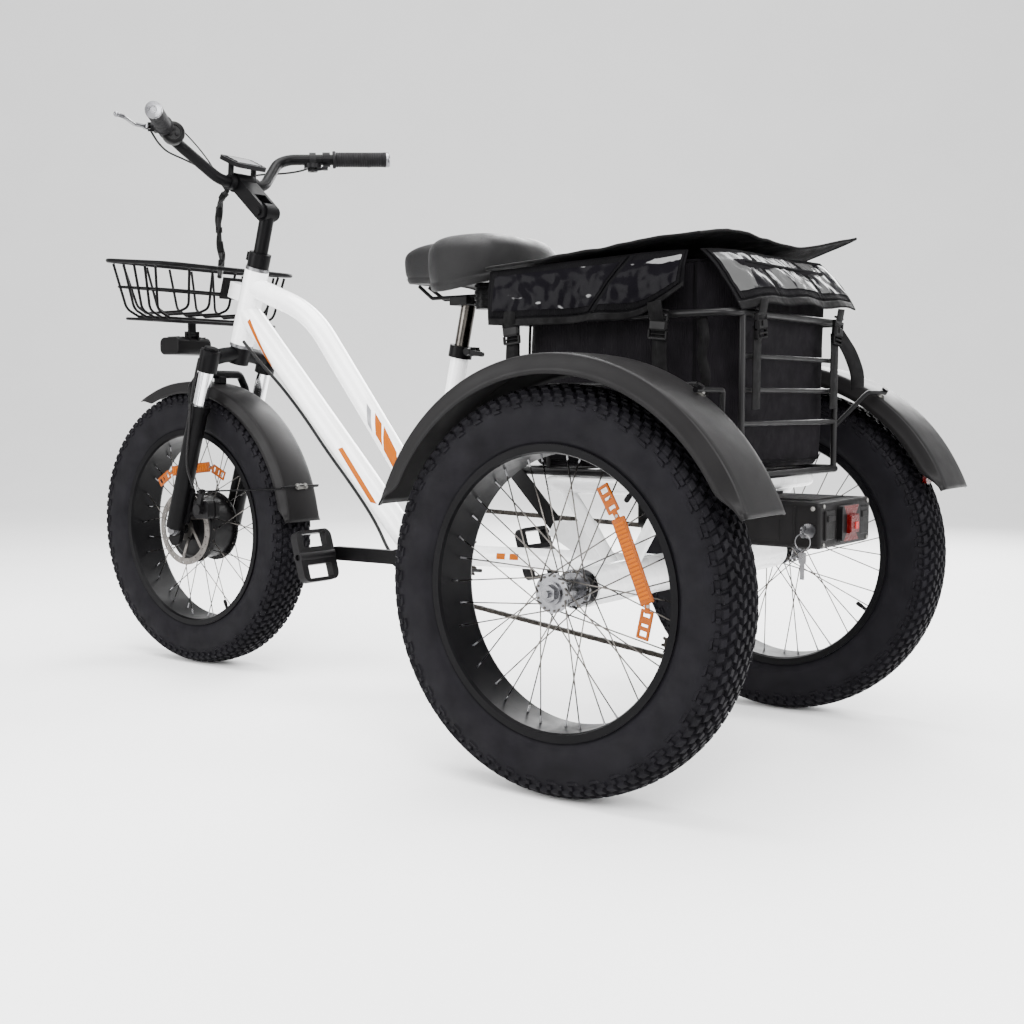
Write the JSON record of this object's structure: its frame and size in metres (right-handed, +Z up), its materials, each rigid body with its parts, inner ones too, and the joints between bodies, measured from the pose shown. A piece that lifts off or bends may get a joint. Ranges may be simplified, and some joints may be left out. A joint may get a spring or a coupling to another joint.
{
  "type": "adult tricycle",
  "caption": "Electric cargo tricycle with fat tyres, step-through frame, sprung fork, front wire basket, wide saddle and a covered bag in a rear rack",
  "frame": {"origin": "centre of the bounding box's footprint, on the ground under the tyres", "axes": "+X forward, +Y to the rider's left, +Z up"},
  "size_m": [1.8435, 0.851, 1.1288],
  "materials": {
    "white_paint": "glossy white frame paint",
    "black_paint": "satin black paint",
    "rim_black": "semi-gloss black rim",
    "tyre_rubber": "black knobby tyre",
    "spoke_steel": "stainless spokes and nipples",
    "hub_alloy": "polished hub shells",
    "motor_black": "cast motor shell, black",
    "steel": "machined steel",
    "chrome": "chromed stanchions",
    "dark_steel": "oiled dark steel",
    "fender_plastic": "satin dark mudguards",
    "black_plastic": "moulded black plastic",
    "grip_rubber": "soft ribbed grips",
    "saddle_vinyl": "black vinyl over foam",
    "bag_cloth": "woven black nylon",
    "red_lens": "red moulded lens"
  },
  "bodies": {
    "frame_body": {"frame": "white_paint", "bearings": "steel", "front_basket": "black_paint", "rear_rack": "black_paint", "cargo_bag": "bag_cloth", "bag_straps": "bag_cloth", "motor_controller": "black_plastic", "rear_fender_left": "fender_plastic", "rear_fender_right": "fender_plastic", "fender_brackets": "black_paint", "rear_reflectors": "red_lens", "seat_clamp": "black_paint", "chain": "dark_steel", "derailleur": "dark_steel", "frame_cables": "grip_rubber"},
    "seat": {"seat_post": "black_paint", "saddle": "saddle_vinyl", "saddle_frame": "dark_steel"},
    "seat_quick_release": {"seat_lever": "steel"},
    "bag_cover": {"bag_lid": "bag_cloth"},
    "battery": {"battery_box": "black_plastic", "tail_light": "red_lens"},
    "key": {"battery_key": "steel"},
    "hanging_keys": {"key_ring": "steel"},
    "lamp": {"headlight": "black_plastic"},
    "steerer": {"fork_crown": "black_paint", "fork_stanchions": "chrome", "stem_post": "black_paint", "steering_cables": "grip_rubber"},
    "fork_slider": {"fork_lowers": "black_paint", "front_axle": "steel", "front_fender": "fender_plastic", "brake_caliper": "motor_black"},
    "front_wheel": {"front_tyre": "tyre_rubber", "front_rim": "rim_black", "front_spokes": "spoke_steel", "hub_motor": "motor_black", "brake_rotor": "steel"},
    "handlebar_set": {"stem_arm": "black_paint", "handlebar": "black_paint", "grips": "grip_rubber", "brake_perches": "black_paint", "thumb_shifter": "black_plastic", "display": "black_plastic"},
    "left_brake_lever": {"brake_lever_left": "steel"},
    "right_brake_lever": {"brake_lever_right": "steel"},
    "gear_lever": {"shift_lever": "black_plastic"},
    "crank": {"crank_set": "black_paint", "chainring": "dark_steel"},
    "left_pedal": {"pedal_left": "black_plastic"},
    "right_pedal": {"pedal_right": "black_plastic"},
    "freewheel_body": {"freewheel": "steel"},
    "rear_left_wheel": {"rear_left_tyre": "tyre_rubber", "rear_left_rim": "rim_black", "rear_left_spokes": "spoke_steel", "rear_left_hub": "hub_alloy"},
    "rear_right_wheel": {"rear_right_tyre": "tyre_rubber", "rear_right_rim": "rim_black", "rear_right_spokes": "spoke_steel", "rear_right_hub": "hub_alloy"}
  },
  "joints": [
    {"name": "steering", "type": "hinge", "parent": "frame_body", "child": "steerer", "pos_m": [0.6217, 0, 0.3], "axis": [-0.3173, 0, 0.9483], "range_deg": [-45, 45], "deforming": ["steering_cables"]},
    {"name": "fork_travel", "type": "slide", "parent": "steerer", "child": "fork_slider", "axis": [-0.3173, 0, 0.9483], "range_m": [0, 0.04], "stiffness_N_per_m": 9000, "springref_m": -0.045, "deforming": ["steering_cables"]},
    {"name": "front_wheel_spin", "type": "hinge", "parent": "fork_slider", "child": "front_wheel", "pos_m": [0.6217, 0, 0.3], "axis": [0, 1, 0], "continuous": true},
    {"name": "stem_tilt", "type": "hinge", "parent": "steerer", "child": "handlebar_set", "pos_m": [0.40555, 0, 0.9649], "axis": [0, 1, 0], "range_deg": [-20, 20], "deforming": ["steering_cables"]},
    {"name": "left_brake", "type": "hinge", "parent": "handlebar_set", "child": "left_brake_lever", "pos_m": [0.47689, 0.24522, 1.10904], "axis": [0, 0, 1], "range_deg": [0, 18], "stiffness_Nm_per_rad": 0.4, "springref_deg": -17.19},
    {"name": "right_brake", "type": "hinge", "parent": "handlebar_set", "child": "right_brake_lever", "pos_m": [0.47689, -0.24522, 1.10904], "axis": [0, 0, 1], "range_deg": [-18, 0], "stiffness_Nm_per_rad": 0.4, "springref_deg": 17.19},
    {"name": "gear_shift", "type": "hinge", "parent": "handlebar_set", "child": "gear_lever", "pos_m": [0.47705, -0.2042, 1.08814], "axis": [0, 0, 1], "range_deg": [-8, 40]},
    {"name": "crank_spin", "type": "hinge", "parent": "frame_body", "child": "crank", "pos_m": [-0.0243, 0, 0.282], "axis": [0, 1, 0], "continuous": true},
    {"name": "left_pedal_spin", "type": "hinge", "parent": "crank", "child": "left_pedal", "pos_m": [0.1407, 0, 0.28], "axis": [0, 1, 0], "continuous": true},
    {"name": "right_pedal_spin", "type": "hinge", "parent": "crank", "child": "right_pedal", "pos_m": [-0.1893, 0, 0.284], "axis": [0, 1, 0], "continuous": true},
    {"name": "freewheel_spin", "type": "hinge", "parent": "frame_body", "child": "freewheel_body", "pos_m": [-0.5983, 0, 0.3], "axis": [0, 1, 0], "continuous": true},
    {"name": "rear_left_spin", "type": "hinge", "parent": "frame_body", "child": "rear_left_wheel", "pos_m": [-0.5983, 0, 0.3], "axis": [0, 1, 0], "continuous": true},
    {"name": "rear_right_spin", "type": "hinge", "parent": "frame_body", "child": "rear_right_wheel", "pos_m": [-0.5983, 0, 0.3], "axis": [0, 1, 0], "continuous": true},
    {"name": "seat_height", "type": "slide", "parent": "frame_body", "child": "seat", "axis": [-0.2215, 0, 0.9751], "range_m": [-0.05, 0.06]},
    {"name": "seat_lever_turn", "type": "hinge", "parent": "frame_body", "child": "seat_quick_release", "pos_m": [-0.14027, 0, 0.666], "axis": [0, 1, 0], "range_deg": [-60, 60]},
    {"name": "bag_lid_open", "type": "hinge", "parent": "frame_body", "child": "bag_cover", "pos_m": [-0.3583, 0, 0.79], "axis": [0, -1, 0], "range_deg": [-95, 0]},
    {"name": "battery_slide", "type": "slide", "parent": "frame_body", "child": "battery", "axis": [-1, 0, 0], "range_m": [0, 0.2]},
    {"name": "key_turn", "type": "hinge", "parent": "battery", "child": "key", "pos_m": [-0.8563, 0, 0.382], "axis": [0, 1, 0], "range_deg": [-90, 0]},
    {"name": "key_ring_swing", "type": "hinge", "parent": "key", "child": "hanging_keys", "pos_m": [-0.8563, 0.117, 0.379], "axis": [0, 1, 0], "range_deg": [-35, 35]},
    {"name": "lamp_tilt", "type": "hinge", "parent": "frame_body", "child": "lamp", "pos_m": [0.6497, 0, 0.721], "axis": [0, 1, 0], "range_deg": [-15, 15]}
  ],
  "couplings": [
    {"joint": "freewheel_spin", "follows": "crank_spin", "ratio": 1.5714}
  ]
}
